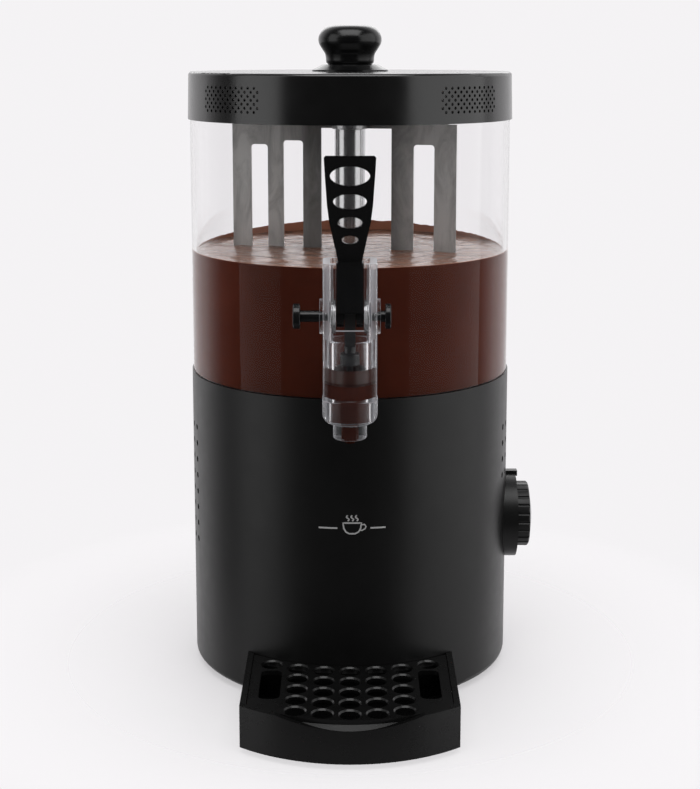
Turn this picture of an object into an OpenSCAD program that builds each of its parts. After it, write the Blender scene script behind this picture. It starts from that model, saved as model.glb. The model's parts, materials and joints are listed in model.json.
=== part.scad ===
// Heated and stirred hot drink dispenser: round housing with heater and motor, clear tank,
// slatted stirrer on a central standpipe, clear lever tap and removable drip tray.
// Millimetres. Origin on the tank axis at the standing surface, +Z up, front is -Y.

/* [Housing] */
// Outer radius of the housing
body_r = 115; // [112:0.5:118]
// Height of the housing's top edge
body_top = 216; // [212:1:220]
// Sheet thickness of the housing
body_wall = 2.5; // [2:0.1:3]
// Radius of the rounded lower edge
body_edge_r = 4.5; // [3:0.5:6]
// Radius of one side vent hole
vent_r = 2.15; // [1.5:0.05:2.5]
// Distance between side vent holes
vent_pitch = 11.8; // [10:0.2:12]

/* [Tank] */
// Outer radius of the clear tank
tank_r = 114; // [113:0.25:114]
// Wall of the clear tank
tank_wall_t = 3; // [2:0.25:4]
// Height of the tank's rim
tank_top = 402; // [400:0.5:403]
// Outer radius of the central standpipe
pipe_r = 11.15; // [10:0.05:12]

/* [Lid] */
// Outer radius at the lid's lower edge
lid_r = 115.5; // [115.4:0.1:116]
// Height of the lid's lower edge
lid_bottom = 396; // [394:0.5:398]
// Height of the lid's flat top
lid_top = 429; // [427:0.5:432]
// Radius of one lid vent hole
lid_hole_r = 1.0; // [0.7:0.05:1.1]
// Azimuth of the two vent patches from the front
lid_vent_az = 44.6; // [40:1:60]

/* [Stirrer] */
// Thickness of the stirrer sheet
blade_t = 1.5; // [1:0.1:2]
// Turn of the stirrer at rest
blade_turn = 13; // [0:1:30]

/* [Tap] */
// Distance of the tap's axis in front of the tank axis
tap_y = 142; // [140:0.5:144]
// Width of the tap body
tap_w = 34.2; // [33:0.2:36]
// Height of the lever's pivot
pivot_z = 276.8; // [276:0.2:278]
// Radius of the lever's drive pin circle
drive_r = 8; // [7.6:0.1:8.2]

/* [Dial] */
// Height of the thermostat dial's axis
dial_z = 103; // [98:1:108]
// Radius of the bezel
bezel_r = 31.25; // [29:0.25:33]
// Radius of the dial knob
dial_r = 23.8; // [20:0.2:25]

/* [Drip tray] */
// Half width of the drip tray
tray_hw = 70.5; // [68:0.5:73]
// Height of the tray's rim
tray_top = 32; // [30:0.5:34]
// Height of the tray's underside
tray_bottom = 4; // [3:0.5:6]
// Distance of the tray's front edge from the tank axis
tray_front = 204; // [200:1:208]
// Radius of one grille hole
grille_hole_r = 7; // [5.5:0.25:7.25]

/* [Hidden] */
$fn = 96;

body_bottom = 3;
foot_r = 100;
flange_t = 2.5;
flange_r = 101;          // radius of the opening in the housing's top
tank_in = tank_r - tank_wall_t;
floor_z = 220;           // upper face of the tank floor
pipe_top = 388;
hub_z = 388.5;
shaft_r = 4;
spigot_z = 233;
spigot_r = 8;
gland_z = 30;
gland_x = -45;
switch_z = 60;
tray_wall = 4;
scoop_r = 187;
grille_z = tray_top - 3.7;

// cylinder along +X from x0 to x1
module xcyl(x0, x1, r) { translate([x0, 0, 0]) rotate([0, 90, 0]) cylinder(h = x1 - x0, r = r); }
// cylinder along Y from y0 to y1, where y0 < y1
module ycyl(y0, y1, r, n = 96) { translate([0, y1, 0]) rotate([90, 0, 0]) cylinder(h = y1 - y0, r = r, $fn = n); }
// tube along Z
module tube(z0, z1, ro, ri) {
    difference() {
        translate([0, 0, z0]) cylinder(h = z1 - z0, r = ro);
        translate([0, 0, z0 - 1]) cylinder(h = z1 - z0 + 2, r = ri);
    }
}
// rectangle w x d about the origin with corner radius r
module round_rect(w, d, r) {
    square([w - 2 * r, d], center = true);
    square([w, d - 2 * r], center = true);
    for (sx = [-1, 1], sy = [-1, 1]) translate([sx * (w / 2 - r), sy * (d / 2 - r)]) circle(r = r);
}
// one pan head screw along +Z, head at the bottom, underside of the head at z = 0
module screw_up(l, r, hr, hh) {
    difference() {
        union() {
            translate([0, 0, -hh]) cylinder(h = hh, r = hr, $fn = 32);
            cylinder(h = l, r = r, $fn = 32);
        }
        for (a = [0, 90]) rotate([0, 0, a]) translate([-hr * 0.6, -0.4, -hh - 1]) cube([hr * 1.2, 0.8, 1.6]);
    }
}

// ---------------- housing ----------------
module foot_ring() { color("#202020") tube(0, 5, foot_r, foot_r - 12); }

module base_plate() {
    color("#2a2a2c") difference() {
        translate([0, 0, 5]) cylinder(h = 2, r = 108);
        // cooling holes under the motor
        for (r = [24, 36, 48], a = [0 : 30 : 359]) rotate([0, 0, a + r]) translate([r, 0, 4]) cylinder(h = 4, r = 3, $fn = 24);
        for (a = [45 : 90 : 359]) rotate([0, 0, a]) translate([84, 0, 4]) cylinder(h = 4, r = 2, $fn = 32);
    }
}

// four screws hold the base plate to the bracket's feet
module base_screws() {
    color("silver") for (a = [45 : 90 : 359]) rotate([0, 0, a]) translate([84, 0, 5]) screw_up(8, 2, 3.6, 1.8);
}

module shell_outer_2d(d) {
    b = body_bottom + d;
    r = max(body_edge_r - d, 0.5);
    translate([0, b + r]) square([body_r - d, body_top - d - b - r]);
    translate([0, b]) square([body_r - d - r, r + 1]);
    translate([body_r - d - r, b + r]) circle(r = r);
}

module vent_holes(side, first, last) {
    for (i = [first : last], c = [-3 : 3])
        translate([0, 0, 95.2 + i * vent_pitch]) rotate([0, 0, side * 90 + c * 6])
            rotate([90, 0, 0]) translate([0, 0, 105]) cylinder(h = 14, r = vent_r, $fn = 24);
}

module housing_shell() {
    color("#1c1c1e") difference() {
        rotate_extrude($fn = 180) difference() {
            shell_outer_2d(0);
            difference() {
                shell_outer_2d(body_wall);
                // inward flange that carries the tank and the water pan
                translate([flange_r, body_top - flange_t]) square([20, 20]);
            }
            // opening in the top, and the opening that the base plate closes
            translate([-1, body_top - 10]) square([flange_r + 1, 30]);
            translate([-1, -1]) square([foot_r + 3, 8]);
            translate([foot_r, 5]) square([8, 1.9]);
        }
        vent_holes(-1, 0, 7);
        vent_holes(1, 4, 7);
        // dial, switch, gland and tray hook openings
        translate([0, 0, dial_z]) xcyl(100, 125, 5);
        translate([-9.5, 100, switch_z - 12.5]) cube([19, 20, 25]);
        translate([gland_x, 0, gland_z]) ycyl(90, 125, 7);
        for (s = [-1, 1]) translate([s * 32 - 6.5, -125, 12]) cube([13, 30, 4]);
    }
}

module water_pan() {
    color("silver") difference() {
        union() {
            translate([0, 0, 186]) cylinder(h = 30, r = flange_r);
            // rim that lies on the housing's flange
            translate([0, 0, body_top]) cylinder(h = 1, r = flange_r + 2);
        }
        translate([0, 0, 187.5]) cylinder(h = 40, r = flange_r - 1.5);
        translate([0, 0, 180]) cylinder(h = 20, r = pipe_r);
    }
}

module heating_element() {
    color("#8a8a8a") {
        translate([0, 0, 182]) rotate_extrude() translate([72, 0]) circle(r = 4, $fn = 32);
        for (s = [-1, 1]) translate([s * 9, 72, 160]) cylinder(h = 20, r = 2.5, $fn = 32);
    }
}

// ---------------- drive ----------------
module motor_bracket() {
    color("#9a9a9a") difference() {
        union() {
            translate([-45, -45, 100]) cube([90, 90, 2]);
            for (a = [45 : 90 : 359]) rotate([0, 0, a]) {
                translate([56, -8, 100]) cube([36, 16, 2]);
                translate([90, -8, 7]) cube([2, 16, 95]);
                translate([76, -8, 7]) cube([16, 16, 2]);
            }
        }
        translate([0, 0, 90]) cylinder(h = 20, r = 12);
        for (a = [45 : 90 : 359]) rotate([0, 0, a]) {
            translate([84, 0, 6]) cylinder(h = 4, r = 2, $fn = 32);
            translate([34, 0, 90]) cylinder(h = 20, r = 2, $fn = 32);
        }
    }
}

module bracket_screws() {
    color("silver") for (a = [45 : 90 : 359]) rotate([0, 0, a]) translate([34, 0, 102]) mirror([0, 0, 1]) screw_up(8, 2, 3.6, 2.2);
}

module gearmotor() {
    color("#b8b8b4") difference() {
        union() {
            translate([-30, -30, 62]) cube([60, 60, 38]);
            translate([0, 0, 22]) cylinder(h = 40, r = 27);
            translate([0, 0, 100]) cylinder(h = 4, r = 11);
            translate([0, 0, 104]) cylinder(h = 14, r = 4);
        }
        for (a = [45 : 90 : 359]) rotate([0, 0, a]) translate([34, 0, 94]) cylinder(h = 10, r = 2, $fn = 32);
    }
}

module standpipe() {
    color("#d8d8da") difference() {
        union() {
            translate([0, 0, 168]) cylinder(h = pipe_top - 168, r = pipe_r);
            // collar that presses on the tank floor
            translate([0, 0, floor_z]) cylinder(h = 3, r = 16);
        }
        translate([0, 0, 160]) cylinder(h = 240, r = 7);
    }
}

module standpipe_nut() {
    color("silver") difference() {
        translate([0, 0, 176]) cylinder(h = 10, r = 17, $fn = 6);
        translate([0, 0, 170]) cylinder(h = 30, r = pipe_r);
    }
}

module bush(z0, z1) { color("#e8e0c8") tube(z0, z1, 7, shaft_r + 0.05); }
module lower_bush() { bush(168, 182); }
module upper_bush() { bush(374, 388); }

module drive_shaft() {
    color("#c8c8cc") union() {
        translate([0, 0, 119]) cylinder(h = 281, r = shaft_r);
        translate([0, 0, 400]) cylinder(h = 7, r = 2.5);
    }
}

module shaft_coupling() {
    color("#a0a0a0") difference() {
        translate([0, 0, 106]) cylinder(h = 30, r = 9);
        translate([0, 0, 119]) cylinder(h = 20, r = shaft_r);
        translate([0, 0, 100]) cylinder(h = 19, r = 4.05);
        translate([0, 0, 128]) xcyl(2, 12, 1.5);
    }
}

module stirrer_hub() {
    color("#b8b8ba") difference() {
        translate([0, 0, hub_z]) cylinder(h = 11.5, r = 13);
        translate([0, 0, hub_z - 1]) cylinder(h = 20, r = shaft_r);
        rotate([0, 0, -blade_turn]) translate([-20, -blade_t / 2, hub_z - 1]) cube([40, blade_t, 9]);
    }
}

// the nut that clamps the hub on the shaft
module hub_nut() {
    color("#c8c8cc") difference() {
        union() {
            translate([0, 0, 400]) cylinder(h = 6, r = 7.5, $fn = 6);
            intersection() {
                translate([0, 0, 406]) sphere(r = 5.5);
                translate([0, 0, 406]) cylinder(h = 8, r = 8);
            }
        }
        translate([0, 0, 399]) cylinder(h = 8, r = 2.5);
    }
}

// window with an arched top between two slats, from s0 to s1 along the sheet
module blade_window(s0, s1, z0, z1) {
    k = 2.5;
    translate([s0, z0]) square([s1 - s0, z1 - z0 - k]);
    translate([s0 + k, z1 - k - 1]) square([s1 - s0 - 2 * k, k + 1]);
    translate([s0 + k, z1 - k]) circle(r = k, $fn = 32);
    translate([s1 - k, z1 - k]) circle(r = k, $fn = 32);
}

module blade_sheet(sgn, slats, tops, tip) {
    // slats are [inner, outer] distances from the axis
    n = len(slats);
    rotate([0, 0, -blade_turn]) translate([0, blade_t / 2, 0]) rotate([90, 0, 0]) linear_extrude(blade_t)
        mirror([sgn < 0 ? 1 : 0, 0]) difference() {
            union() {
                translate([slats[0][0], 226]) square([tip - slats[0][0], 170 - 4]);
                translate([slats[0][0] + 0, 388]) square([tip - slats[0][0] - 6, 7]);
                translate([5, hub_z + 0.2]) square([slats[0][0] - 4, 6.5]);
            }
            for (i = [0 : n - 2]) blade_window(slats[i][1], slats[i + 1][0], 238, tops[i]);
            // rounded outer corner at the top
            translate([tip - 6, 392]) difference() { square([10, 10]); circle(r = 6, $fn = 48); }
        }
}

module stirrer_blade_left() { color("#9a9896") blade_sheet(-1, [[21.3, 34.8], [49.6, 61.3], [74, 88.3]], [379.5, 376.5], 88.3); }
module stirrer_blade_right() { color("#9a9896") blade_sheet(1, [[30.5, 46.5], [61.5, 77.3]], [377.5], 77.3); }

// ---------------- tank ----------------
module tank_gasket() { color("#141414") tube(body_top, 218, tank_in, flange_r + 2); }

module tank_floor() {
    color("#c0c0c2") difference() {
        translate([0, 0, 218]) cylinder(h = floor_z - 218, r = tank_in);
        translate([0, 0, 210]) cylinder(h = 20, r = pipe_r);
    }
}

module tank_wall() {
    color([0.9, 0.95, 1, 0.3]) difference() {
        tube(body_top, tank_top, tank_r, tank_in);
        translate([0, 0, spigot_z]) ycyl(-120, -100, spigot_r);
    }
}

// ---------------- tap ----------------
module tap_body() {
    color([0.9, 0.95, 1, 0.35]) translate([0, -tap_y, 0]) difference() {
        union() {
            translate([0, 0, 224]) linear_extrude(312.4 - 224) round_rect(tap_w, 34, 6);
            rotate_extrude() {
                translate([0, 213.5]) square([17.7, 11.5]);
                translate([0, 207.5]) square([11.7, 8]);
                translate([11.7, 213.5]) circle(r = 6, $fn = 64);
                translate([0, 198.8]) square([10.85, 10]);
                translate([0, 197.3]) square([9.35, 3]);
                translate([9.35, 198.8]) circle(r = 1.5, $fn = 32);
            }
            translate([0, 0, pivot_z]) xcyl(-19.3, 19.3, 11.2);
            translate([0, 0, spigot_z]) ycyl(15, tap_y - 101, spigot_r);
            translate([0, 0, spigot_z]) ycyl(15, tap_y - 116, 13.5);
        }
        // chamber, upper cavity, nozzle and inlet
        translate([0, 0, 210]) cylinder(h = 60, r = 12.7);
        translate([0, 0, 262]) linear_extrude(60) round_rect(25.4, 25.4, 3);
        translate([0, 0, 190]) cylinder(h = 30, r = 4.4);
        translate([0, 0, spigot_z]) ycyl(0, tap_y - 95, 5.5);
        // lever slot in the front wall
        translate([-9, -30, 270]) cube([18, 25, 60]);
        translate([0, 0, pivot_z]) xcyl(-25, 25, 2.5);
    }
}

module tap_gasket_outer() {
    color("#1a1a1a") difference() {
        translate([0, 0, spigot_z]) ycyl(-116, -105, 12);
        translate([0, 0, 200]) cylinder(h = 80, r = tank_r, $fn = 180);
        translate([0, 0, spigot_z]) ycyl(-130, -100, spigot_r);
    }
}

module tap_gasket_inner() {
    color("#1a1a1a") difference() {
        intersection() {
            translate([0, 0, spigot_z]) ycyl(-114, -108, 12);
            translate([0, 0, 200]) cylinder(h = 80, r = tank_in, $fn = 180);
        }
        translate([0, 0, spigot_z]) ycyl(-130, -100, spigot_r);
    }
}

module tap_nut() {
    color("#c8c8cc") difference() {
        translate([0, -102, spigot_z]) rotate([90, 30, 0]) cylinder(h = 6, r = 12, $fn = 6);
        translate([0, 0, spigot_z]) ycyl(-130, -95, spigot_r);
    }
}

// pin with a disc head: stub r 2.5, shank r 3.75 from 19.3 to neck, head to end
module pivot_pin(neck, end) {
    xcyl(0.3, 19.3, 2.5);
    xcyl(19.3, neck, 3.75);
    translate([neck, 0, 0]) rotate([0, 90, 0]) rotate_extrude() {
        square([7.4, end - neck]);
        translate([7.4, 0.75]) circle(r = 0.75, $fn = 24);
        translate([7.4, end - neck - 0.75]) circle(r = 0.75, $fn = 24);
        translate([0, 0.75]) square([8.15, end - neck - 1.5]);
    }
}
module pivot_pin_right() { color("#141414") translate([0, -tap_y, pivot_z]) pivot_pin(22.4, 26); }
module pivot_pin_left() { color("#141414") translate([0, -tap_y, pivot_z]) mirror([1, 0, 0]) pivot_pin(31.6, 36.2); }

module torsion_spring() {
    for (i = [0 : 2]) translate([9.45 + i * 1.25, 0, 0]) rotate([0, 90, 0]) rotate_extrude($fn = 72) translate([10.5, 0]) circle(r = 0.55, $fn = 18);
    translate([9.45 + 2.5, 10.5, 0]) cylinder(h = 16, r = 0.55, $fn = 24);
}
module torsion_spring_right() { color("#c8c8cc") translate([0, -tap_y, pivot_z]) torsion_spring(); }
module torsion_spring_left() { color("#c8c8cc") translate([0, -tap_y, pivot_z]) mirror([1, 0, 0]) torsion_spring(); }

// paddle outline: [height, half width]
paddle = [[290, 7.25], [310, 7.25], [314, 7.95], [320, 9.3], [326, 10.65], [337, 13.1], [348, 14.5],
    [357, 15.1], [366, 15.75], [377.3, 16.4], [378.5, 15.3]];
// paddle openings: [height, width, height of the oval]
ovals = [[365.9, 25.2, 12.4], [349.9, 21.2, 9.7], [336.7, 15.5, 7.3], [325.9, 10.3, 5.2]];

module oval(w, h) {
    polygon([for (i = [0 : 55]) [w / 2 * cos(i * 360 / 56), h / 2 * sin(i * 360 / 56)]]);
}

module tap_lever() {
    color("#161616") translate([0, -tap_y, 0]) difference() {
        union() {
            // paddle
            translate([0, 2.25, 0]) rotate([90, 0, 0]) linear_extrude(4.5) difference() {
                polygon([for (p = paddle) [p[1], p[0]], for (i = [len(paddle) - 1 : -1 : 0]) [-paddle[i][1], paddle[i][0]]]);
                for (o = ovals) translate([0, o[0]]) oval(o[1], o[2]);
            }
            // stem and fork
            translate([-8.6, -9, 290]) cube([17.2, 13, 22]);
            // front plate of the fork, above the plunger's blade
            translate([-8.6, -9, pivot_z + 3.2]) cube([17.2, 2.4, 12]);
            for (s = [-1, 1]) translate([s * 6.25 - 2.35, 0, 0]) {
                translate([0, -9, pivot_z + 3.2]) cube([4.7, 13, 12]);
                translate([0, -4, pivot_z]) cube([4.7, 8, 14]);
                translate([0, 0, pivot_z]) xcyl(0, 4.7, 7);
                translate([0, drive_r, pivot_z]) xcyl(0, 4.7, 3);
                translate([0, 0, pivot_z - 3]) cube([4.7, drive_r, 6]);
            }
        }
        translate([0, 0, pivot_z]) xcyl(-10, 10, 2.55);
        translate([0, drive_r, pivot_z]) xcyl(-10, 10, 1.2);
    }
}

module lever_drive_pin() { color("#c8c8cc") translate([0, drive_r - tap_y, pivot_z]) xcyl(-7.2, 7.2, 1.2); }

module plunger_stem() {
    color("#2a2a2a") translate([0, -tap_y, 0]) {
        difference() {
            union() {
                translate([-3.5, -6, 258]) cube([7, 17.2, pivot_z + 4.6 - 258]);
                translate([0, 0, 251.6]) cylinder(h = 6.4, r = 4.5);
                translate([0, 0, 213]) cylinder(h = 38.6, r = 2.5);
                translate([0, 0, 251.6]) cylinder(h = 1.4, r = 7.4);
            }
            // slot for the pivot pins and slot for the drive pin
            translate([-5, -2.8, pivot_z - 9.2]) cube([10, 5.6, 12]);
            translate([-5, 3.6, pivot_z - 1.9]) cube([10, 6, 3.8]);
            // hollow under the rear half keeps the blade clear of the chamber's step
            translate([-5, 5, 250]) cube([10, 10, 20]);
        }
    }
}

module plunger_collar() {
    color("#0e0e0e") translate([0, -tap_y, 0]) tube(246, 251.6, 7.45, 2.5);
}

module seat_seal() {
    color("#101010") translate([0, -tap_y, 0]) {
        translate([0, 0, 210]) cylinder(h = 3, r = 7);
    }
}

// ---------------- dial ----------------
module dial_bezel() {
    color("#161616") translate([0, 0, dial_z]) difference() {
        union() {
            xcyl(100, 122.3, bezel_r);
            translate([100, -3, bezel_r - 2]) cube([23.8, 6, 4]);
        }
        translate([0, 0, -60]) cylinder(h = 120, r = body_r, $fn = 180);
        xcyl(90, 130, 5);
        xcyl(120.5, 130, dial_r + 1.2);
    }
}

module dial_knob() {
    color("#1a1a1a") translate([0, 0, dial_z]) difference() {
        union() {
            xcyl(121, 131, dial_r);
            translate([131, 0, 0]) rotate([0, 90, 0]) cylinder(h = 1, r1 = dial_r, r2 = dial_r - 1);
        }
        for (a = [0 : 15 : 359]) rotate([a, 0, 0]) translate([0, 0, dial_r + 0.8]) xcyl(119, 133, 1.6);
        xcyl(120, 128, 3);
        // pointer groove
        translate([130.4, -0.8, dial_r - 6]) cube([4, 1.6, 8]);
    }
}

module dial_cap() {
    color("#c8c8ca") translate([0, 0, dial_z]) intersection() {
        translate([135 - 60, 0, 0]) sphere(r = 60, $fn = 180);
        xcyl(132, 136, 18);
    }
}

module dial_shaft() { color("#b0b0b0") translate([0, 0, dial_z]) xcyl(92, 128, 3); }

module thermostat_body() {
    color("#d8d0b8") translate([0, 0, dial_z]) difference() {
        union() {
            xcyl(82, 108, 17);
            xcyl(108, 119, 5);
        }
        xcyl(90, 125, 3.05);
    }
}

module thermostat_bulb() { color("#b87333") translate([0, -45, 182]) rotate([0, 90, 0]) cylinder(h = 60, r = 4, center = true); }

module terminal_block() {
    color("#e0e0d8") difference() {
        translate([-18, 68, 7]) cube([36, 18, 14]);
        for (i = [0 : 2]) translate([-11 + i * 11, 77, 12]) cylinder(h = 12, r = 2.4, $fn = 24);
    }
}

module switch_body() {
    color("#141414") translate([0, 111, switch_z]) xcyl(-9.5, 9.5, 1.95);
    color("#141414") difference() {
        union() {
            translate([-12, 105, switch_z - 15]) cube([24, 12.5, 30]);
            translate([-9.5, 88, switch_z - 12.5]) cube([19, 27, 25]);
        }
        // the flange follows the housing
        difference() {
            translate([0, 0, switch_z - 30]) cylinder(h = 60, r = body_r, $fn = 180);
            translate([-9.5, 80, switch_z - 12.5]) cube([19, 40, 25]);
        }
        translate([0, 111, switch_z]) xcyl(-7, 7, 9.3);
    }
}

module switch_rocker() {
    color("#b01818") translate([0, 111, switch_z]) rotate([-8, 0, 0]) difference() {
        xcyl(-6.7, 6.7, 9);
        // two flats make the rocker's faces
        translate([-10, 7.2, 0]) rotate([-16, 0, 0]) cube([20, 10, 20]);
        translate([-10, 7.2, 0]) rotate([16, 0, 0]) translate([0, 0, -20]) cube([20, 10, 20]);
        xcyl(-10, 10, 2);
    }
}

module cable_gland() {
    color("#101010") difference() {
        union() {
            // collar that lies on the housing
            difference() {
                translate([gland_x, 0, gland_z]) ycyl(100, 122, 10);
                cylinder(h = 80, r = body_r, $fn = 180);
            }
            translate([gland_x, 0, gland_z]) ycyl(95, 116, 7);
        }
        translate([gland_x, 0, gland_z]) ycyl(90, 130, 3.6);
    }
}

// ---------------- lid ----------------
module lid_vents(az) {
    for (row = [-3 : 3]) {
        n = abs(row) % 2 == 1 ? 10 : 11;
        for (k = [0 : n - 1])
            rotate([0, 0, az + (k - (n - 1) / 2) * 5.2 / 115 * 57.2958])
                translate([0, 0, 411.5 + row * 2.6]) rotate([90, 0, 0]) translate([0, 0, 108]) cylinder(h = 10, r = lid_hole_r, $fn = 16);
    }
}

module lid_shell() {
    color("#1c1c1e") difference() {
        rotate_extrude($fn = 180) difference() {
            union() {
                polygon([[0, lid_bottom], [lid_r, lid_bottom], [lid_r - 0.75, lid_top - 2.5], [0, lid_top - 2.5]]);
                square([0.1, 0.1]);
                translate([0, lid_bottom]) square([lid_r - 3.25, lid_top - lid_bottom]);
                translate([lid_r - 3.25, lid_top - 2.5]) circle(r = 2.5, $fn = 64);
            }
            translate([-1, -1]) square([3, 4]);
            translate([-1, lid_bottom - 1]) square([tank_r + 0.35 + 1, tank_top - lid_bottom + 1]);
            translate([-1, tank_top - 1]) square([tank_r - 2 + 1, lid_top - 2.5 - tank_top + 1]);
        }
        lid_vents(lid_vent_az);
        lid_vents(-lid_vent_az);
        translate([0, 0, 420]) cylinder(h = 20, r = 2.5, $fn = 32);
    }
}

module knob_flange() {
    color("#161618") difference() {
        translate([0, 0, lid_top]) union() {
            cylinder(h = 1.2, r = 27);
            translate([0, 0, 1.2]) cylinder(h = 3.6, r1 = 26.4, r2 = 20);
        }
        translate([0, 0, 420]) cylinder(h = 20, r = 2.5, $fn = 32);
    }
}

// knob profile: [height above the lid, radius]
knob_pts = [[4.8, 16], [5.4, 16.8], [7.5, 17.1], [10.3, 17.3], [12.7, 17.9], [15.5, 19.7], [18.3, 21.4], [20.2, 22.2],
    [22, 22.5], [24, 22.3], [26, 21.6], [27.6, 20.8], [29.4, 19.4], [30.8, 17.6], [31.7, 15], [32.2, 12], [32.45, 8], [32.6, 4]];

module lid_knob() {
    color("#141416") difference() {
        rotate_extrude() polygon(concat([[0, lid_top + 4.8]], [for (p = knob_pts) [p[1], lid_top + p[0]]], [[0, lid_top + 32.6]]));
        translate([0, 0, 420]) cylinder(h = 30, r = 2.5, $fn = 32);
    }
}

module lid_knob_screw() {
    color("silver") translate([0, 0, lid_top - 2.5]) screw_up(22, 2.5, 5, 3);
}

// ---------------- drip tray ----------------
// plan of the tray, shrunk by d at the sides and front and by back at the housing:
// straight sides, arc front about the tank axis, rear arc round the housing
module tray_plan(d, back) {
    intersection() {
        translate([-tray_hw + d, -230]) square([2 * (tray_hw - d), 160]);
        difference() {
            translate([0, -(tray_front - 115)]) circle(r = 115 - d, $fn = 180);
            circle(r = body_r + 0.4 + back, $fn = 180);
        }
    }
    // rear part of the sides, behind the front arc's centre line
    difference() {
        translate([-tray_hw + d, -(tray_front - 40)]) square([2 * (tray_hw - d), 90]);
        circle(r = body_r + 0.4 + back, $fn = 180);
        translate([-100, -80]) square([200, 80]);
    }
}

// hollow in the front rim: sloping cone face bounded by a wide arc
module finger_scoop() {
    intersection() {
        translate([0, -(tray_front - 115), 0]) rotate_extrude($fn = 180)
            polygon([[110, tray_top - 2.9], [116, tray_top - 6.62], [116, tray_top + 8], [110, tray_top + 8]]);
        translate([0, 0, tray_top - 6 + scoop_r]) ycyl(-230, -150, scoop_r, 360);
    }
}

module drip_tray() {
    color("#1a1a1c") difference() {
        union() {
            translate([0, 0, tray_bottom]) linear_extrude(tray_top - tray_bottom) tray_plan(0, 0);
            // two hooks enter the housing
            for (s = [-1, 1]) translate([s * 32 - 6, -113, 12.4]) cube([12, 12, 3.2]);
        }
        translate([0, 0, tray_bottom + 2]) linear_extrude(40) tray_plan(tray_wall + 2, tray_wall + 2);
        // the grille lies on the ledge and on the low rear wall
        translate([0, 0, grille_z]) linear_extrude(40) tray_plan(tray_wall, -3);
        finger_scoop();
    }
}

function sag(x) = 115 - sqrt(115 * 115 - x * x);
grille_cols = [-35, -17.5, 0, 17.5, 35];
// hole centres: first row follows the housing, the others follow the front arc
grille_holes = concat(
    [for (x = grille_cols) [x, -sqrt(124.3 * 124.3 - x * x)]],
    [for (x = grille_cols, y = [141, 158, 174.6, 191]) [x, -y + sag(x)]],
    [for (s = [-1, 1]) [s * 53, -112.6]]);

module drip_grille() {
    color("#1e1e20") translate([0, 0, grille_z]) difference() {
        linear_extrude(3) tray_plan(tray_wall + 0.4, 0.4);
        for (p = grille_holes) translate([p[0], p[1], 0]) {
            translate([0, 0, -1]) cylinder(h = 6, r = grille_hole_r - 0.45, $fn = 48);
            translate([0, 0, 2]) cylinder(h = 1.05, r1 = grille_hole_r - 0.45, r2 = grille_hole_r + 0.55, $fn = 48);
        }
        for (s = [-1, 1]) translate([s * 52.5, -145.4, -1]) linear_extrude(6) round_rect(14, 45, 4.5);
    }
}

foot_ring();
base_plate();
base_screws();
housing_shell();
water_pan();
heating_element();
motor_bracket();
bracket_screws();
gearmotor();
standpipe();
standpipe_nut();
lower_bush();
upper_bush();
tank_gasket();
tank_floor();
tank_wall();
tap_body();
tap_nut();
tap_gasket_outer();
tap_gasket_inner();
pivot_pin_left();
pivot_pin_right();
torsion_spring_left();
torsion_spring_right();
dial_bezel();
thermostat_body();
thermostat_bulb();
terminal_block();
switch_body();
cable_gland();
lid_shell();
knob_flange();
lid_knob();
lid_knob_screw();
drive_shaft();
shaft_coupling();
stirrer_hub();
stirrer_blade_left();
stirrer_blade_right();
hub_nut();
tap_lever();
lever_drive_pin();
plunger_stem();
plunger_collar();
seat_seal();
dial_knob();
dial_cap();
dial_shaft();
drip_tray();
drip_grille();
switch_rocker();
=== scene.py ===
import bpy, bmesh, math, json, random
from mathutils import Vector, Matrix, noise


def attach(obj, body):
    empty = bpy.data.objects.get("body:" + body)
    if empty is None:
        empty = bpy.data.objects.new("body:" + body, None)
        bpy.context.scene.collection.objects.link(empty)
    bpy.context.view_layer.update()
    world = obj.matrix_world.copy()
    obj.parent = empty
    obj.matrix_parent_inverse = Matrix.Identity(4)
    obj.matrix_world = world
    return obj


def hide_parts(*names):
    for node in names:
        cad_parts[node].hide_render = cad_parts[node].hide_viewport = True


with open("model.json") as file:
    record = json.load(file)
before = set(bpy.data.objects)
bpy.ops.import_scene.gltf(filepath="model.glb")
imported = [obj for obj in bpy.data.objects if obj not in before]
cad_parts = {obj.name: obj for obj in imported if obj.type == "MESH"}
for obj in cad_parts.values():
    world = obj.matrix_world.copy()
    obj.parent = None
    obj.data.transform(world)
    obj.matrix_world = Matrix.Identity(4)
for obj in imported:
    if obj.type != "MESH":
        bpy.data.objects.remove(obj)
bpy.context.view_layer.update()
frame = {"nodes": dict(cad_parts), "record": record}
nodes = frame["nodes"]
sc = bpy.context.scene
sc.view_settings.view_transform = "Standard"
sc.view_settings.look = "None"

MM = 0.001
BODY_R = 0.115
TANK_IN = 0.111
AX_TAP = -0.142
LIQ_Z = 0.302
LID_TOP = 0.429


def link(o):
    sc.collection.objects.link(o)
    return o


# ---------------------------------------------------------------- camera
def make_camera():
    cam = bpy.data.cameras.new("cam")
    o = link(bpy.data.objects.new("cam", cam))
    f_px = 1510.8
    pitch = math.radians(8.96)
    o.location = (0.0, -1.0876, 0.4431)
    o.rotation_euler = (math.radians(90) - pitch, 0, 0)
    cam.sensor_fit = "HORIZONTAL"
    cam.sensor_width = 36.0
    cam.lens = 36.0 * f_px / 700.0
    cam.shift_y = -105.0 / 700.0
    cam.clip_start, cam.clip_end = 0.01, 50
    sc.camera = o


make_camera()


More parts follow.
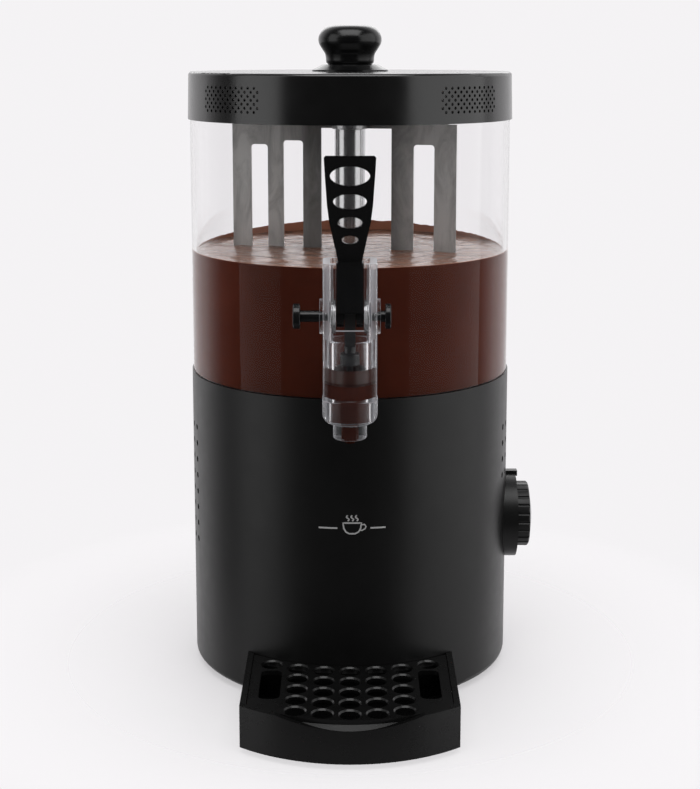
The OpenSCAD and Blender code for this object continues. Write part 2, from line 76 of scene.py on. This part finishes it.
# ---------------------------------------------------------------- materials
class M:
    """A small helper round one node material."""

    def __init__(self, name):
        self.m = bpy.data.materials.new(name)
        self.m.use_nodes = True
        self.t = self.m.node_tree
        self.n = self.t.nodes
        self.b = self.n["Principled BSDF"]
        self.out = self.n["Material Output"]
        self.co = self.n.new("ShaderNodeTexCoord").outputs["Object"]

    def link(self, a, b):
        self.t.links.new(a, b)

    def set(self, **kw):
        for k, v in kw.items():
            self.b.inputs[k.replace("_", " ")].default_value = v
        return self

    def noise(self, scale, detail=2.0, rough=0.5, distortion=0.0, vec=None):
        n = self.n.new("ShaderNodeTexNoise")
        n.inputs["Scale"].default_value = scale
        n.inputs["Detail"].default_value = detail
        n.inputs["Roughness"].default_value = rough
        n.inputs["Distortion"].default_value = distortion
        self.link(vec or self.co, n.inputs["Vector"])
        return n.outputs["Fac"]

    def mapping(self, scale=(1, 1, 1), rot=(0, 0, 0), loc=(0, 0, 0)):
        n = self.n.new("ShaderNodeMapping")
        n.inputs["Scale"].default_value = scale
        n.inputs["Rotation"].default_value = rot
        n.inputs["Location"].default_value = loc
        self.link(self.co, n.inputs["Vector"])
        return n.outputs["Vector"]

    def ramp(self, fac, stops):
        n = self.n.new("ShaderNodeValToRGB")
        e = n.color_ramp.elements
        while len(e) < len(stops):
            e.new(0.5)
        for el, (p, c) in zip(e, stops):
            el.position = p
            el.color = (c[0], c[1], c[2], 1) if isinstance(c, (tuple, list)) else (c, c, c, 1)
        self.link(fac, n.inputs["Fac"])
        return n.outputs["Color"]

    def math(self, op, a, b=None, c=None):
        n = self.n.new("ShaderNodeMath")
        n.operation = op
        for i, v in enumerate((a, b, c)):
            if v is None:
                continue
            if isinstance(v, (int, float)):
                n.inputs[i].default_value = v
            else:
                self.link(v, n.inputs[i])
        return n.outputs[0]

    def maprange(self, v, a, b, c, d):
        n = self.n.new("ShaderNodeMapRange")
        for i, x in zip((1, 2, 3, 4), (a, b, c, d)):
            n.inputs[i].default_value = x
        self.link(v, n.inputs[0])
        return n.outputs[0]

    def bump(self, height, strength=0.2, dist=0.0002, normal=None):
        n = self.n.new("ShaderNodeBump")
        n.inputs["Strength"].default_value = strength
        n.inputs["Distance"].default_value = dist
        self.link(height, n.inputs["Height"])
        if normal is not None:
            self.link(normal, n.inputs["Normal"])
        return n.outputs["Normal"]

    def xyz(self):
        n = self.n.new("ShaderNodeSeparateXYZ")
        self.link(self.co, n.inputs[0])
        return n.outputs


def plastic(name, col, rough=0.4, grain=2200, grain_s=0.15, var=0.04, spec=0.5, coat=0.0):
    m = M(name)
    m.set(Roughness=rough, Specular_IOR_Level=spec, Coat_Weight=coat, Coat_Roughness=0.08)
    big = m.noise(35, 4, 0.6)
    c2 = tuple(min(1, x * 1.2) for x in col)
    m.link(m.ramp(big, [(0.35, col), (0.7, c2)]), m.b.inputs["Base Color"])
    m.link(m.maprange(m.noise(90, 5, 0.65), 0.3, 0.75, rough - var, rough + var), m.b.inputs["Roughness"])
    m.link(m.bump(m.noise(grain, 2, 0.5), grain_s, 0.00008), m.b.inputs["Normal"])
    return m.m


def paint(name, col, rough, grain_s=0.25, spec=0.45):
    """Fine-textured stoved paint."""
    m = M(name)
    m.set(Roughness=rough, Specular_IOR_Level=spec)
    big = m.noise(14, 5, 0.6)
    c2 = tuple(x * 1.35 + 0.001 for x in col)
    m.link(m.ramp(big, [(0.3, col), (0.75, c2)]), m.b.inputs["Base Color"])
    m.link(m.maprange(m.noise(60, 6, 0.7), 0.3, 0.75, rough - 0.035, rough + 0.035), m.b.inputs["Roughness"])
    h = m.math("ADD", m.math("MULTIPLY", m.noise(2600, 2, 0.5), 0.7), m.math("MULTIPLY", m.noise(900, 2, 0.5), 0.3))
    m.link(m.bump(h, grain_s, 0.00006), m.b.inputs["Normal"])
    return m.m


def metal(name, col, rough, stretch=(1, 1, 1), grain=900, grain_s=0.1, var=0.08, aniso=0.0, stain=0.0):
    m = M(name)
    m.set(Metallic=1.0, Anisotropic=aniso)
    v = m.mapping(scale=stretch)
    g = m.noise(grain, 3, 0.6, vec=v)
    st = m.noise(26, 5, 0.7, distortion=0.6)
    dark = tuple(x * (1 - stain) for x in col)
    m.link(m.ramp(st, [(0.32, dark), (0.62, col)]), m.b.inputs["Base Color"])
    m.link(m.maprange(g, 0.25, 0.75, max(0.02, rough - var), rough + var), m.b.inputs["Roughness"])
    m.link(m.bump(g, grain_s, 0.00005), m.b.inputs["Normal"])
    return m.m


def glass(name, tint=(1, 1, 1), ior=1.49, rough=0.0, wave=0.0, haze=0.0, tint_spec=1.0, rim_haze=0.0):
    """Clear moulded wall that lets lamps through."""
    m = M(name)
    m.set(Roughness=rough, IOR=ior, Transmission_Weight=1.0)
    m.b.inputs["Base Color"].default_value = (*tint, 1)
    m.b.inputs["Specular Tint"].default_value = (tint_spec, tint_spec, tint_spec, 1)
    m.link(m.bump(m.noise(60, 3, 0.5), max(wave, 0.01), 0.0002), m.b.inputs["Normal"])
    m.link(m.maprange(m.noise(45, 5, 0.7), 0.5, 0.85, rough, rough + 0.03), m.b.inputs["Roughness"])
    base = m.b.outputs[0]
    if haze:
        d = m.n.new("ShaderNodeBsdfDiffuse")
        d.inputs["Color"].default_value = (0.76, 0.77, 0.81, 1)
        hz = m.n.new("ShaderNodeMixShader")
        hf = m.maprange(m.noise(70, 4, 0.6, distortion=0.8), 0.35, 0.7, haze * 0.5, haze * 1.5)
        lw = m.n.new("ShaderNodeLayerWeight")
        lw.inputs["Blend"].default_value = 0.5
        rim = m.math("MULTIPLY", m.math("POWER", lw.outputs["Facing"], 3.0), rim_haze)
        hf = m.math("ADD", hf, rim)
        m.link(hf, hz.inputs[0])
        m.link(base, hz.inputs[1])
        m.link(d.outputs[0], hz.inputs[2])
        base = hz.outputs[0]
    tr = m.n.new("ShaderNodeBsdfTransparent")
    tr.inputs["Color"].default_value = (0.93 * tint[0], 0.94 * tint[1], 0.95 * tint[2], 1)
    lp = m.n.new("ShaderNodeLightPath")
    mix = m.n.new("ShaderNodeMixShader")
    m.link(lp.outputs["Is Shadow Ray"], mix.inputs[0])
    m.link(base, mix.inputs[1])
    m.link(tr.outputs[0], mix.inputs[2])
    m.link(mix.outputs[0], m.out.inputs["Surface"])
    return m.m


MAT = {}
MAT["body_black"] = paint("body_black", (0.0012, 0.0012, 0.0012), 0.39)
MAT["lid_black"] = paint("lid_black", (0.0009, 0.0009, 0.0009), 0.22, 0.01, 0.85)
MAT["black_plastic"] = plastic("black_plastic", (0.0025, 0.0025, 0.0026), 0.24, 1800, 0.03, 0.03)
MAT["tray_black"] = plastic("tray_black", (0.0018, 0.0018, 0.0018), 0.29, 2600, 0.12, 0.04)
MAT["dark_plastic"] = plastic("dark_plastic", (0.004, 0.004, 0.004), 0.38, 2600, 0.12, 0.04)
MAT["pale_plastic"] = plastic("pale_plastic", (0.6, 0.56, 0.45), 0.45, 1500, 0.15)
MAT["rubber_black"] = plastic("rubber_black", (0.006, 0.006, 0.006), 0.6, 1500, 0.2)
MAT["clear_tank"] = glass("clear_tank", (0.965, 0.961, 0.965), 1.49, 0.0, 0.01, tint_spec=0.1)
MAT["clear_tap"] = glass("clear_tap", (0.95, 0.95, 0.96), 1.22, 0.01, 0.12, haze=0.003, tint_spec=1.0, rim_haze=0.55)
MAT["polished_steel"] = metal("polished_steel", (0.66, 0.66, 0.665), 0.21, (1, 1, 0.02), 700, 0.04, 0.06)
MAT["steel"] = metal("steel", (0.5, 0.5, 0.5), 0.3, (1, 1, 1), 600, 0.1, 0.08, stain=0.12)
MAT["zinc"] = metal("zinc", (0.55, 0.56, 0.57), 0.35, (1, 1, 1), 500, 0.1, 0.1, stain=0.2)
MAT["alu"] = metal("alu", (0.65, 0.66, 0.67), 0.35, (1, 1, 1), 800, 0.1, 0.08, stain=0.1)
MAT["cap_silver"] = metal("cap_silver", (0.62, 0.62, 0.63), 0.25, (0.05, 1, 1), 900, 0.1, 0.06)
MAT["copper"] = metal("copper", (0.72, 0.42, 0.28), 0.3, (1, 1, 1), 600, 0.1, 0.1, stain=0.2)
MAT["silicone"] = plastic("silicone", (0.006, 0.006, 0.006), 0.6, 1500, 0.2)
MAT["rocker_red"] = plastic("rocker_red", (0.3, 0.012, 0.01), 0.25, 1500, 0.03)


def blade_metal():
    """Sheet dulled by steam in random clouds, its colour painted darker towards the standpipe as painted shade on the
    inner blades.
    """
    m = M("brushed_sheet")
    m.set(Metallic=0.35, Anisotropic=0.2)
    x, y, z = m.xyz()
    r = m.math("SQRT", m.math("ADD", m.math("MULTIPLY", x, x), m.math("MULTIPLY", y, y)))
    # painted shade: the base colour falls to 0.36 of the sheet's tone towards the standpipe, for the dimmer inner
    # blades
    painted_shade_by_pipe = m.maprange(r, 0.030, 0.052, 0.36, 1.0)
    v = m.mapping(scale=(1, 1, 0.35))
    cloud = m.maprange(m.noise(55, 6, 0.7, distortion=1.6, vec=v), 0.3, 0.7, 0.62, 1.25)
    f = m.math("MULTIPLY", painted_shade_by_pipe, cloud)
    c = m.n.new("ShaderNodeMix")
    c.data_type = "RGBA"
    c.inputs[6].default_value = (0.0, 0.0, 0.0, 1)
    c.inputs[7].default_value = (0.66, 0.65, 0.63, 1)
    m.link(f, c.inputs[0])
    m.link(c.outputs[2], m.b.inputs["Base Color"])
    g = m.noise(900, 3, 0.6, vec=m.mapping(scale=(1, 1, 0.03)))
    m.link(m.maprange(g, 0.25, 0.75, 0.38, 0.55), m.b.inputs["Roughness"])
    m.link(m.bump(g, 0.15, 0.00005), m.b.inputs["Normal"])
    return m.m


MAT["brushed_sheet"] = blade_metal()

slot_of = {s["node"]: s["material_slot"] for s in frame["record"]["subparts"]}


def shade(o, angle=40):
    """Smooth shading that keeps the corners sharper than angle."""
    for p in o.data.polygons:
        p.use_smooth = True
    o.data.set_sharp_from_angle(angle=math.radians(angle))


for n, o in nodes.items():
    o.data.materials.clear()
    o.data.materials.append(MAT[slot_of[n]])


# ---------------------------------------------------------------- mesh helpers
def mesh_obj(name, verts, faces, smooth=True, angle=40):
    me = bpy.data.meshes.new(name)
    me.from_pydata(verts, [], faces)
    me.validate()
    bm = bmesh.new()
    bm.from_mesh(me)
    bmesh.ops.recalc_face_normals(bm, faces=bm.faces)
    bm.to_mesh(me)
    bm.free()
    o = link(bpy.data.objects.new(name, me))
    if smooth:
        shade(o, angle)
    return o


def lathe(name, prof, seg=160, centre=(0, 0), angle=40):
    """Closed solid of revolution about Z from a closed or axis-to-axis profile [(r, z)]."""
    verts, faces, rings = [], [], []
    for r, z in prof:
        if r < 1e-7:
            rings.append([len(verts)])
            verts.append((centre[0], centre[1], z))
        else:
            rings.append(list(range(len(verts), len(verts) + seg)))
            for i in range(seg):
                a = 2 * math.pi * i / seg
                verts.append((centre[0] + r * math.cos(a), centre[1] + r * math.sin(a), z))
    pairs = list(zip(rings, rings[1:]))
    if prof[0][0] > 1e-7 and prof[-1][0] > 1e-7:
        pairs.append((rings[-1], rings[0]))
    for a, b in pairs:
        for i in range(seg):
            j = (i + 1) % seg
            if len(a) == 1 and len(b) == 1:
                continue
            if len(a) == 1:
                faces.append((a[0], b[i], b[j]))
            elif len(b) == 1:
                faces.append((a[i], b[0], a[j]))
            else:
                faces.append((a[i], b[i], b[j], a[j]))
    return mesh_obj(name, verts, faces, angle=angle)


def put(o, body, mat, replaces=()):
    o.data.materials.clear()
    o.data.materials.append(mat)
    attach(o, body)
    if replaces:
        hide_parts(*replaces)
    return o


# ---------------------------------------------------------------- chocolate
def chocolate_material(name, col, rough, spec=0.5, surf=False, painted_rim_light=0.0):
    m = M(name)
    m.set(Roughness=rough, Specular_IOR_Level=spec)
    a = m.noise(14, 4, 0.6, distortion=0.8)
    body = m.ramp(a, [(0.3, tuple(x * 0.88 for x in col)), (0.7, tuple(x * 1.12 for x in col))])
    # painted light: the base colour is raised towards grazing angles (Layer Weight Facing), standing in for the side
    # lamps' light on the chocolate's sides
    if painted_rim_light:
        lw = m.n.new("ShaderNodeLayerWeight")
        lw.inputs["Blend"].default_value = 0.5
        painted_light_gain = m.math("ADD", 1.0, m.math("MULTIPLY", m.math("POWER", lw.outputs["Facing"], 2.0), painted_rim_light))
        sc = m.n.new("ShaderNodeVectorMath")
        sc.operation = "SCALE"
        m.link(body, sc.inputs[0])
        m.link(painted_light_gain, sc.inputs["Scale"])
        body = sc.outputs[0]
    m.link(body, m.b.inputs["Base Color"])
    if surf:
        # paler top copy of the chocolate; the ripple colour follows the bump height, troughs painted darker and crests
        # lighter as painted shade and highlight
        v = m.mapping(scale=(1, 2.2, 1))
        f = m.noise(24, 6, 0.6, distortion=1.8, vec=v)
        m.link(m.ramp(f, [(0.30, tuple(x * 0.45 for x in col)), (0.5, col), (0.72, tuple(x * 1.5 for x in col))]), m.b.inputs["Base Color"])
        m.link(m.maprange(f, 0.3, 0.7, rough + 0.12, rough), m.b.inputs["Roughness"])
        m.link(m.bump(f, 0.35, 0.0012), m.b.inputs["Normal"])
    else:
        m.link(m.bump(m.noise(500, 3, 0.5), 0.05, 0.0001), m.b.inputs["Normal"])
    return m.m


# the tank's chocolate carries the painted side light at its grazing sides
MAT["choc"] = chocolate_material("choc", (0.066, 0.018, 0.0108), 0.5, 0.0, painted_rim_light=23.0)
# painted shade: a darker copy of the chocolate for the liquid inside the tap
MAT["choc_tap"] = chocolate_material("choc_tap", (0.046, 0.0125, 0.0078), 0.5, 0.0)
# the thin film's own paler tone, raised further as painted light to make up for the dim light under the lid
MAT["choc_film"] = chocolate_material("choc_film", (0.5, 0.21, 0.13), 0.5, 0.1)
MAT["choc_froth"] = chocolate_material("choc_froth", (0.024, 0.008, 0.0055), 0.3, 0.4)
MAT["choc_top"] = chocolate_material("choc_top", (0.27, 0.14, 0.095), 0.2, 0.2, True)


def liquid_height(x, y):
    """Ripples left by the turning stirrer, in metres."""
    r = math.hypot(x, y)
    a = math.atan2(y, x)
    h = 0.0006 * noise.noise(Vector((x * 22, y * 48, 0.3)))
    h += 0.0005 * noise.noise(Vector((x * 70, y * 130, 4.1)))
    h += 0.0003 * math.sin(r * 330 + 2.2 * a + 3 * noise.noise(Vector((x * 15, y * 15, 2))))
    edge = min(1.0, max(0.0, (TANK_IN - r) / 0.004))
    climb = 0.0012 * (1 - edge) ** 2
    pipe = 0.0010 * max(0.0, 1 - (r - 0.0112) / 0.004) ** 2
    return h * edge + climb + pipe


def chocolate_tank():
    r_out, r_in, seg = TANK_IN + 0.00018, 0.0113, 220
    rs = [r_in + (r_out - r_in) * (i / 60) ** 0.9 for i in range(61)]
    verts, faces, rings = [], [], []
    for r in rs:
        ring = []
        for i in range(seg):
            a = 2 * math.pi * i / seg
            x, y = r * math.cos(a), r * math.sin(a)
            ring.append(len(verts))
            verts.append((x, y, LIQ_Z + liquid_height(x, y)))
        rings.append(ring)
    low = []
    for r, z in ((r_out, 0.21625), (0.1109, 0.21625), (0.1109, 0.2202), (0.0163, 0.2202), (0.0163, 0.2232), (r_in, 0.2232)):
        ring = []
        for i in range(seg):
            a = 2 * math.pi * i / seg
            ring.append(len(verts))
            verts.append((r * math.cos(a), r * math.sin(a), z))
        low.append(ring)
    loop = rings + low
    for k in range(len(loop)):
        a, b = loop[k], loop[(k + 1) % len(loop)]
        for i in range(seg):
            j = (i + 1) % seg
            faces.append((a[i], b[i], b[j], a[j]))
    o = mesh_obj("chocolate_in_tank", verts, faces, angle=50)
    put(o, "root", MAT["choc"])
    o.data.materials.append(MAT["choc_top"])
    for p in o.data.polygons:
        c = p.center
        if p.normal.z > 0.5 and c.z > LIQ_Z - 0.003:
            p.material_index = 1
    return o


chocolate_tank()


def chocolate_film():
    """Thin uneven film that the stirrer throws on the tank's inside above the liquid."""
    seg = 260
    verts, faces = [], []
    top, bot = [], []
    ri, ro = TANK_IN - 0.0003, TANK_IN + 0.0001
    for r in (ro, ri):
        lo, hi = [], []
        for i in range(seg):
            a = 2 * math.pi * i / seg
            back = 0.5 + 0.5 * math.sin(a)
            h = 0.0014 + 0.0072 * back ** 4 * (1 + 0.12 * noise.noise(Vector((math.cos(a) * 7, math.sin(a) * 7, 1.0))))
            h += 0.0007 * back * noise.noise(Vector((math.cos(a) * 40, math.sin(a) * 40, 5.0)))
            lo.append(len(verts))
            verts.append((r * math.cos(a), r * math.sin(a), LIQ_Z - 0.002))
            hi.append(len(verts))
            verts.append(((r if r == ro else r + 0.0002) * math.cos(a), (r if r == ro else r + 0.0002) * math.sin(a), LIQ_Z + max(0.0008, h)))
        bot.append(lo)
        top.append(hi)
    for i in range(seg):
        j = (i + 1) % seg
        faces.append((bot[0][i], bot[0][j], top[0][j], top[0][i]))
        faces.append((bot[1][i], top[1][i], top[1][j], bot[1][j]))
        faces.append((top[0][i], top[0][j], top[1][j], top[1][i]))
        faces.append((bot[0][i], bot[1][i], bot[1][j], bot[0][j]))
    return put(mesh_obj("chocolate_film", verts, faces), "root", MAT["choc_film"])


chocolate_film()


def chocolate_tap():
    prof = [(0, 0.2102), (0.0124, 0.2102), (0.0126, 0.2106), (0.0126, 0.2246), (0.0128, 0.2247), (0.0128, 0.2352), (0.0120, 0.2343), (0.0108, 0.2340), (0.006, 0.2338), (0, 0.2338)]
    put(lathe("chocolate_in_tap", prof, 96, (0, AX_TAP)), "root", MAT["choc_tap"])
    froth = [(0.0122, 0.2335), (0.0128, 0.2335), (0.0128, 0.2438), (0.0126, 0.2431), (0.01235, 0.2405)]
    put(lathe("chocolate_froth", froth, 96, (0, AX_TAP)), "root", MAT["choc_froth"])
    drop = [(0, 0.2105), (0.0045, 0.2105), (0.0045, 0.1974), (0.0041, 0.1962), (0.0036, 0.1949), (0.0026, 0.1941), (0.0012, 0.1938), (0, 0.1938)]
    put(lathe("chocolate_drop", drop, 64, (0, AX_TAP)), "root", MAT["choc_tap"])


chocolate_tap()


# ---------------------------------------------------------------- knob of the lid
def catmull(pts, n=8):
    out = []
    for i in range(len(pts) - 1):
        p0, p1, p2, p3 = pts[max(i - 1, 0)], pts[i], pts[i + 1], pts[min(i + 2, len(pts) - 1)]
        for k in range(n):
            t = k / n
            out.append(tuple(0.5 * (2 * b + (c - a) * t + (2 * a - 5 * b + 4 * c - d) * t * t + (3 * b - a - 3 * c + d) * t ** 3)
                             for a, b, c, d in zip(p0, p1, p2, p3)))
    out.append(pts[-1])
    return out


def lid_knob():
    pts = [(17.1, 7.5), (17.3, 10.3), (17.9, 12.7), (19.7, 15.5), (21.4, 18.3), (22.2, 20.2), (22.45, 22), (22.3, 24), (21.6, 26),
           (20.6, 27.8), (19.2, 29.5), (17.2, 31.0), (14.3, 32.0), (10, 32.45), (5, 32.55), (0, 32.58)]
    prof = [(0, 4.82), (15.4, 4.82), (15.9, 5.1), (16.1, 5.6), (16.7, 6.0)] + catmull(pts, 6)
    prof = [(max(0.0, r) * MM, LID_TOP + z * MM) for r, z in prof]
    return put(lathe("knob_turned", prof, 160, angle=50), "lid", MAT["black_plastic"], ("lid_knob",))


lid_knob()


# ---------------------------------------------------------------- stage and light
def stage():
    m = M("floor")
    m.set(Roughness=0.9, Specular_IOR_Level=0.1)
    m.b.inputs["Base Color"].default_value = (0.79, 0.777, 0.79, 1)
    m.b.inputs["Emission Color"].default_value = (1.0, 0.983, 1.0, 1)
    m.b.inputs["Emission Strength"].default_value = 0.13
    x, y, z = m.xyz()
    r = m.math("SQRT", m.math("ADD", m.math("MULTIPLY", x, x), m.math("MULTIPLY", y, y)))
    fade = m.math("POWER", m.maprange(r, 0.03, 0.34, 0.0, 1.0), 0.65)
    n = m.n.new("ShaderNodeMixShader")
    tr = m.n.new("ShaderNodeBsdfTransparent")
    m.link(fade, n.inputs[0])
    m.link(m.b.outputs[0], n.inputs[1])
    m.link(tr.outputs[0], n.inputs[2])
    m.link(n.outputs[0], m.out.inputs["Surface"])
    o = mesh_obj("floor", [(-3, -3, 0), (3, -3, 0), (3, 3, 0), (-3, 3, 0)], [(0, 1, 2, 3)], smooth=False)
    o.data.materials.append(m.m)

    w = bpy.data.worlds.new("world")
    sc.world = w
    w.use_nodes = True
    t = w.node_tree
    t.nodes.clear()
    out = t.nodes.new("ShaderNodeOutputWorld")
    flat = t.nodes.new("ShaderNodeBackground")
    flat.inputs["Color"].default_value = (0.908, 0.893, 0.908, 1)
    env = t.nodes.new("ShaderNodeBackground")
    tc = t.nodes.new("ShaderNodeTexCoord")
    sep = t.nodes.new("ShaderNodeSeparateXYZ")
    t.links.new(tc.outputs["Generated"], sep.inputs[0])
    rmp = t.nodes.new("ShaderNodeValToRGB")
    e = rmp.color_ramp.elements
    # -Y (in front, behind the camera) is dark, +Y (behind the object) is the white backdrop
    e[0].position, e[0].color = 0.0, (0.02, 0.02, 0.02, 1)
    e[1].position, e[1].color = 1.0, (0.9, 0.885, 0.9, 1)
    for p, v in ((0.5, 0.035), (0.62, 0.16), (0.70, 0.5), (0.79, 0.89)):
        k = e.new(p)
        k.color = (v, v * 0.985, v, 1)
    mp = t.nodes.new("ShaderNodeMapRange")
    mp.inputs[1].default_value = -1
    mp.inputs[2].default_value = 1
    t.links.new(sep.outputs[1], mp.inputs[0])
    t.links.new(mp.outputs[0], rmp.inputs[0])
    t.links.new(rmp.outputs[0], env.inputs["Color"])
    lp = t.nodes.new("ShaderNodeLightPath")
    mix = t.nodes.new("ShaderNodeMixShader")
    # seen directly or straight through the clear parts the backdrop is flat; lit surfaces see the studio
    dep = t.nodes.new("ShaderNodeMath")
    dep.operation = "ADD"
    t.links.new(lp.outputs["Diffuse Depth"], dep.inputs[0])
    t.links.new(lp.outputs["Glossy Depth"], dep.inputs[1])
    first = t.nodes.new("ShaderNodeMath")
    first.operation = "LESS_THAN"
    first.inputs[1].default_value = 0.5
    t.links.new(dep.outputs[0], first.inputs[0])
    t.links.new(first.outputs[0], mix.inputs[0])
    t.links.new(env.outputs[0], mix.inputs[1])
    t.links.new(flat.outputs[0], mix.inputs[2])
    t.links.new(mix.outputs[0], out.inputs[0])


def area(name, loc, target, size, power, col=(1, 1, 1)):
    L = bpy.data.lights.new(name, "AREA")
    L.shape = "RECTANGLE"
    L.size, L.size_y = size
    L.energy = power
    L.color = col
    o = link(bpy.data.objects.new(name, L))
    o.visible_camera = False
    o.location = loc
    o.rotation_euler = (Vector(target) - Vector(loc)).to_track_quat("-Z", "Y").to_euler()
    return o


stage()
area("soft_left", (-1.40, -0.64, 0.48), (0, 0, 0.25), (1.0, 2.2), 6.6)
area("soft_right", (1.42, -0.46, 0.48), (0, 0, 0.25), (1.9, 2.2), 12.2)
area("soft_top", (0, -0.75, 1.9), (0, 0, 0.2), (1.8, 1.2), 18)
area("soft_back", (0, 1.5, 1.15), (0, 0, 0.3), (1.6, 0.9), 7)


# ---------------------------------------------------------------- generic mark on the housing
def mark():
    """Printed cup with steam between two rules; u runs along the surface, v up, in millimetres."""
    strokes = [
        ([(-6.2, 1.2), (-5.6, -2.6), (-4.2, -5.0), (-2.0, -6.2), (2.0, -6.2), (4.2, -5.0), (5.6, -2.6), (6.2, 1.2), (-6.2, 1.2)], 1.0),
        ([(6.0, -0.1), (8.2, 0.2), (9.2, -1.3), (8.5, -2.9), (6.6, -3.9), (4.8, -3.8)], 0.9),
        ([(-22.5, -2.4), (-10.0, -2.4)], 1.1),
        ([(12.2, -2.4), (22.5, -2.4)], 1.1)]
    for x in (-3.0, 0.0, 3.0):
        strokes.append(([(x + 0.9 * math.sin(k * 0.9), 2.6 + k * 0.55) for k in range(8)], 0.9))
    R0, R1 = BODY_R - 0.00003, BODY_R + 0.00006
    verts, faces = [], []

    def at(u, v, r):
        a = (u * MM + 0.0015) / BODY_R
        return (r * math.sin(a), -r * math.cos(a), 0.1306 + v * MM)

    for pts, w in strokes:
        closed = pts[0] == pts[-1]
        fine = []
        for a, b in zip(pts, pts[1:]):
            n = max(1, int(math.dist(a, b) / 1.5))
            fine += [(a[0] + (b[0] - a[0]) * k / n, a[1] + (b[1] - a[1]) * k / n) for k in range(n)]
        if not closed:
            fine.append(pts[-1])
        n = len(fine)
        rows = []
        for i, p in enumerate(fine):
            q0 = fine[(i - 1) % n] if closed or i > 0 else p
            q1 = fine[(i + 1) % n] if closed or i < n - 1 else p
            d = Vector((q1[0] - q0[0], q1[1] - q0[1])).normalized()
            nx, ny = -d.y * w / 2, d.x * w / 2
            k = len(verts)
            verts.extend([at(p[0] + nx, p[1] + ny, R1), at(p[0] - nx, p[1] - ny, R1), at(p[0] - nx, p[1] - ny, R0), at(p[0] + nx, p[1] + ny, R0)])
            rows.append(k)
        pairs = list(zip(rows, rows[1:])) + ([(rows[-1], rows[0])] if closed else [])
        for a, b in pairs:
            for c in range(4):
                e = (c + 1) % 4
                faces.append((a + c, a + e, b + e, b + c))
        if not closed:
            faces.append(tuple(rows[0] + c for c in range(4)))
            faces.append(tuple(rows[-1] + c for c in range(4)))
    MAT["print_grey"] = plastic("print_grey", (0.56, 0.56, 0.56), 0.4, 1500, 0.05, 0.04)
    put(mesh_obj("housing_mark", verts, faces, smooth=False), "root", MAT["print_grey"])


mark()
